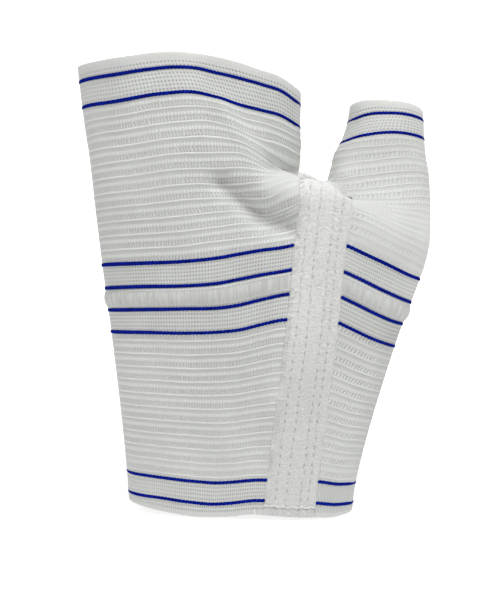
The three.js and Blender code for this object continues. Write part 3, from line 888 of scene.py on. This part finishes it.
def buildTape():
    strip, flat = flatGrid("seamTape", tape["across"], tape["along"])
    mesh = strip.data
    across = flat[:, 0]
    length = lerp(tape["start"], tape["end"], (flat[:, 1] + 1) / 2)
    edge = np.clip((np.abs(across) - tape["edgeFrom"]) / (1 - tape["edgeFrom"]), 0, 1)
    slantEnd = (tape["end"] - length) / tape["endFade"] + 1 - smoothStep(across, 0, 0.4)
    ends = np.clip(1 - np.minimum((length - tape["start"]) / tape["startFade"], slantEnd), 0, 1)
    lift = (tape["gap"] + tape["thickness"]) * (1 - tape["edgeDrop"] * np.maximum(edge, ends) ** 2)
    lift = lift - tape["slantSink"] * np.clip(1 - slantEnd, 0, 1) ** 2  # it sinks into the cloth
    places = tapePlace(across, length, lift + tapeRelief(across, length) * (1 - edge))[0]
    waver = 0.12 * np.sin(length * 0.41) + 0.08 * np.sin(length * 1.13 + 2)
    places[:, 0] += waver * np.abs(across) ** 3
    peak = smoothStep(length, tape["end"] - tape["endFade"], tape["end"])
    peak = peak * smoothStep(-across, -0.3, 0.9)
    places += np.outer(peak, tape["peak"])  # the corner on the palm side reaches the top of the web
    setPoints(mesh, places * mm)
    corner = cornersOf(mesh)
    setClothMap(mesh, np.stack([(across[corner] + 1) / 2 * tape["width"], length[corner]], 1))
    applyModifier(strip, "SOLIDIFY", thickness=tape["sheet"] * mm, offset=-1)
    return shadeSmooth(strip)


def tapeMaterial():
    material, shader, flow, body = newMaterial("whiteTape")
    cloth, across, length = clothMap(flow)
    crinkle = cloth.scaled(0.5, 1.15, 1.0).noise(1.2, 1)
    specks = flow.node("Mapping", {"vector_type": "TEXTURE"}, {
        "Vector": cloth, "Rotation": (0, 0, 0.5), "Scale": (1.1, 0.42, 1.0)})
    specks = specks.noise(1, 2).step(0.48, 0.7)
    fuzz = body.noise(2300, 3)
    jitter = body.noise(300, 1) - 0.5
    dots = groove = None
    for column in tape["needleColumns"]:
        sideways = (across - column * tape["width"] + jitter * 1.2) / 0.28
        along = (length / tape["stitchPitch"] + 0.5 + jitter * 0.8).fract() - 0.5
        along = along * (tape["stitchPitch"] / 0.8)
        dot = 1 - (sideways * sideways + along * along).step(0.15, 1.0)
        line = 1 - (sideways * 0.5).abs().step(0, 1)
        dots, groove = (dot, line) if dots is None else (dots.most(dot), groove.most(line))
    upper = length.step(42, 80)
    top = length.step(tape["end"] - 20, tape["end"] - 6)
    # painted light: the tape is lighter in its upper part and lighter still towards its top, a painted
    # highlight where it faces up, and it is painted lighter along its left edge and towards its left
    # side to lift the shade there
    tone = tape["tone"] + 0.065 * upper + 0.06 * top + (1 - across.step(0.3, 2.6)) * 0.06
    tone = tone + upper * (1 - across / tape["width"]) * 0.05
    tone = tone + (crinkle - 0.5) * (0.14 + 0.16 * upper - 0.2 * top)
    tone = tone + specks * 0.15 + (fuzz - 0.5) * 0.12
    holes = dots * (0.05 + 0.2 * body.noise(420, 1)) + groove * 0.025
    tone = tone - holes * (1 - 0.5 * top)
    # painted shadow under the hem thread, and the hem below it painted a little darker as shade
    tone = tone - 0.07 * length.hump(2.8, 0.7) - 0.03 * (1 - length.step(2.2, 3.2))
    height = crinkle * (0.7 + 0.4 * upper - 0.5 * top) + specks * 0.45 + (fuzz - 0.5) * 0.35
    height = height - dots * 0.5 - groove * 0.3
    finishMaterial(flow, shader, tone.tint((0, 0, 0), tape["white"]), height, 0.0004, 0.8,
                   Roughness=0.92, Sheen_Weight=0.1, Specular_IOR_Level=0.2)
    return material


strip = buildTape()
dress(strip, tapeMaterial())
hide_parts("seam_tape")
print("seam tape:", len(strip.data.polygons), "faces,", round(tape["end"], 1), "mm long")


# Sewing threads: one short thread is modelled once and copied to each stitch

thread = dict(
    stitch=(0.16, 0.08), edge=(0.13, 0.16),  # radius and bow
    stitchSink=0.08, stitchBack=0.45, stitchLength=1.0,
    edgePitch=0.8, edgeShare=0.8, edgeLift=(0.1, 0.5), edgeStop=12,
    hemRadius=0.26, hemHeight=3.6, hemLift=0.55, looseRadius=0.19,
    white=(0.82, 0.825, 0.81), grey=(0.62, 0.62, 0.61),
)


def threadMould():
    deselectAll()
    bpy.ops.mesh.primitive_uv_sphere_add(segments=8, ring_count=6, radius=1)
    mould = bpy.context.object
    points = pointsOf(mould.data)
    faces = [tuple(face.vertices) for face in mould.data.polygons]
    bpy.data.objects.remove(mould)
    return points, faces


def copyThreads(name, stitches, radius, bow):
    points, faces = threadMould()
    allPoints, allFaces = [], []
    for start, end, normal in stitches:
        along = end - start
        half = np.linalg.norm(along) / 2
        along = along / (2 * half)
        sideways = np.cross(normal, along)
        sideways /= np.linalg.norm(sideways)
        up = np.cross(along, sideways)
        share = points[:, 2]
        placed = (start + end) / 2 + np.outer(share * half, along)
        placed = placed + np.outer(points[:, 0] * radius, sideways)
        placed = placed + np.outer(points[:, 1] * radius + bow * (1 - share**2), up)
        allFaces += [tuple(i + len(allPoints) for i in face) for face in faces]
        allPoints += list(placed * mm)
    mesh = bpy.data.meshes.new(name)
    mesh.from_pydata([tuple(p) for p in allPoints], [], allFaces)
    piece = bpy.data.objects.new(name, mesh)
    bpy.context.scene.collection.objects.link(piece)
    return shadeSmooth(piece)


def tapeStitches():
    stitches = []
    lift = np.full(2, tape["gap"] + tape["thickness"] - thread["stitchSink"])
    for column in tape["needleColumns"]:
        first = math.ceil((tape["start"] + 1) / tape["stitchPitch"])
        last = math.floor((tape["end"] - 1) / tape["stitchPitch"])
        for i in range(first, last + 1):
            length = i * tape["stitchPitch"] - thread["stitchBack"]
            across = column * 2 - 1 + random.uniform(-0.015, 0.015)
            lean = random.uniform(0.01, 0.05)
            run = [length, length - thread["stitchLength"]]
            place, normal = tapePlace([across - lean, across + lean], run, lift)
            stitches.append((*place, normal[0]))
    return copyThreads("tapeStitches", stitches, *thread["stitch"])


def edgeThreads():
    stitches = []
    length = tape["start"] + 2
    while length < tape["end"] - thread["edgeStop"]:
        if random.random() < thread["edgeShare"]:
            reach = random.uniform(0.18, 0.34)
            slope = random.uniform(-0.15, 0.15)
            run = [length, length + slope]
            place, normal = tapePlace([-1.0, -1.0 + reach], run, np.array(thread["edgeLift"]))
            place[0, 0] -= random.uniform(0.1, 0.5)
            stitches.append((*place, normal[1]))
        length += thread["edgePitch"] * random.uniform(0.85, 1.15)
    return copyThreads("tapeEdgeThreads", stitches, *thread["edge"])


def tubeAlong(name, path, radius):
    piece = newPath(name, path)
    curve = piece.data
    curve.bevel_depth = radius * mm
    curve.bevel_resolution = 2
    curve.use_fill_caps = True
    pick(piece)
    bpy.ops.object.convert(target="MESH")
    return shadeSmooth(piece)


def hemThread():
    across = np.linspace(-0.98, 0.98, 60)
    length = thread["hemHeight"] + 0.22 * np.sin(across * 17) + 0.12 * np.sin(across * 41 + 1)
    lift = thread["hemLift"] + 0.1 * np.sin(across * 24)
    return tubeAlong("hemThread", tapePlace(across, length, lift)[0], thread["hemRadius"])


def looseThread():
    t = np.linspace(0, 1, 14)
    length = 2.1 - 2.3 * t
    across = -1.36 + 0.13 * t**1.6
    onTape = np.clip(across, -1, 1)
    place = tapePlace(onTape, np.maximum(length, 0.2), 0.5 + 0.5 * np.sin(t * 3))[0]
    place[:, 0] += (across - onTape) * tape["width"] / 2
    return tubeAlong("looseThread", place, thread["looseRadius"])


def threadMaterial():
    material, shader, flow, body = newMaterial("whiteThread")
    twist = body.noise(3200, 2)
    tone = twist.step(0.30, 0.72)
    finishMaterial(
        flow, shader, tone.tint(thread["grey"], thread["white"]), twist, 0.00008, 0.4,
        Roughness=0.7, Sheen_Weight=0.1, Specular_IOR_Level=0.3,
    )
    return material


whiteThread = threadMaterial()
for sewn in (tapeStitches(), edgeThreads(), hemThread(), looseThread()):
    dress(sewn, whiteThread)
print("threads sewn")


# Floor, backdrop, light and camera

studio = dict(
    floorDrop=0.0006, reach=3.0, paperGlow=1.0,
    keyPower=3.6, keySize=0.35, keyPlace=(0.12, -0.30, 0.64),
    leftPower=1.12, rightPower=0.38, fillSize=0.5, fillReach=0.62, fillPlace=(-0.18, 0.30),
    worldGlow=0.23, aim=(0.005, 0, 0.075), eye=(0.00346, -0.33, 0.0754),
    lens=858 / 600 * 36, sensor=36,  # a focal length of 858 pixels in a picture 600 high
)


def paperMaterial():
    material, shader, flow, body = newMaterial("palePaper")
    tooth = body.noise(400, 2)
    back = flow.node("SeparateXYZ", None, {"Vector": body}).out("Y")
    near = back.step(-0.14, -0.09)
    finishMaterial(flow, shader, near.tint((0.9, 0.9, 0.9), (0.45, 0.45, 0.45)), tooth, 0.0001, 0.05,
                   Roughness=0.9, Emission_Strength=studio["paperGlow"])
    # the paper glows around and behind the part and not in front of it, as a lit backdrop does
    behind = near * 0.8 + back.step(0.0, 0.6) * 0.2
    flow.tree.links.new(behind.tint((0, 0, 0), (1, 1, 1)).socket, shader.inputs["Emission Color"])
    return material


def areaLight(name, power, size, place):
    light = bpy.data.lights.new(name, "AREA")
    light.energy, light.size = power, size
    lamp = bpy.data.objects.new(name, light)
    lamp.location = place
    towards = Vector(studio["aim"]) - Vector(place)
    lamp.rotation_euler = towards.to_track_quat("-Z", "Y").to_euler()
    bpy.context.scene.collection.objects.link(lamp)


def buildStudio():
    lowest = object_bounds()[0].z - studio["floorDrop"]
    deselectAll()
    bpy.ops.mesh.primitive_plane_add(size=2 * studio["reach"], location=(0, 0, lowest))
    floor = bpy.context.object
    floor.name = "floorPaper"
    # the far edge is pulled up into a backdrop
    pull = {"TRANSFORM_OT_translate": {"value": (0, 0, studio["reach"])}}
    farEdge = pointsOf(floor.data)[:, 1] > 0
    editMesh(floor, (bpy.ops.mesh.extrude_region_move, pull), only=farEdge)
    bpy.ops.object.transform_apply(location=True, rotation=True, scale=True)
    floor.data.materials.append(paperMaterial())
    areaLight("keyLight", studio["keyPower"], studio["keySize"], studio["keyPlace"])
    for name, power, side in (("leftFill", "leftPower", -1), ("rightFill", "rightPower", 1)):
        place = (side * studio["fillReach"], *studio["fillPlace"])
        areaLight(name, studio[power], studio["fillSize"], place)
    world = bpy.data.worlds.new("studio")
    world.use_nodes = True
    sky = world.node_tree.nodes["Background"].inputs
    sky["Color"].default_value, sky["Strength"].default_value = (1, 1, 1, 1), studio["worldGlow"]
    scene = bpy.context.scene
    scene.world = world
    scene.view_settings.view_transform = "Standard"
    camera = bpy.data.cameras.new("camera")
    camera.lens, camera.sensor_width, camera.clip_start = studio["lens"], studio["sensor"], 0.01
    eye = bpy.data.objects.new("camera", camera)
    eye.location = studio["eye"]
    eye.rotation_euler = (math.pi / 2, 0, 0)
    scene.collection.objects.link(eye)
    scene.camera = eye


buildStudio()
print("studio set")
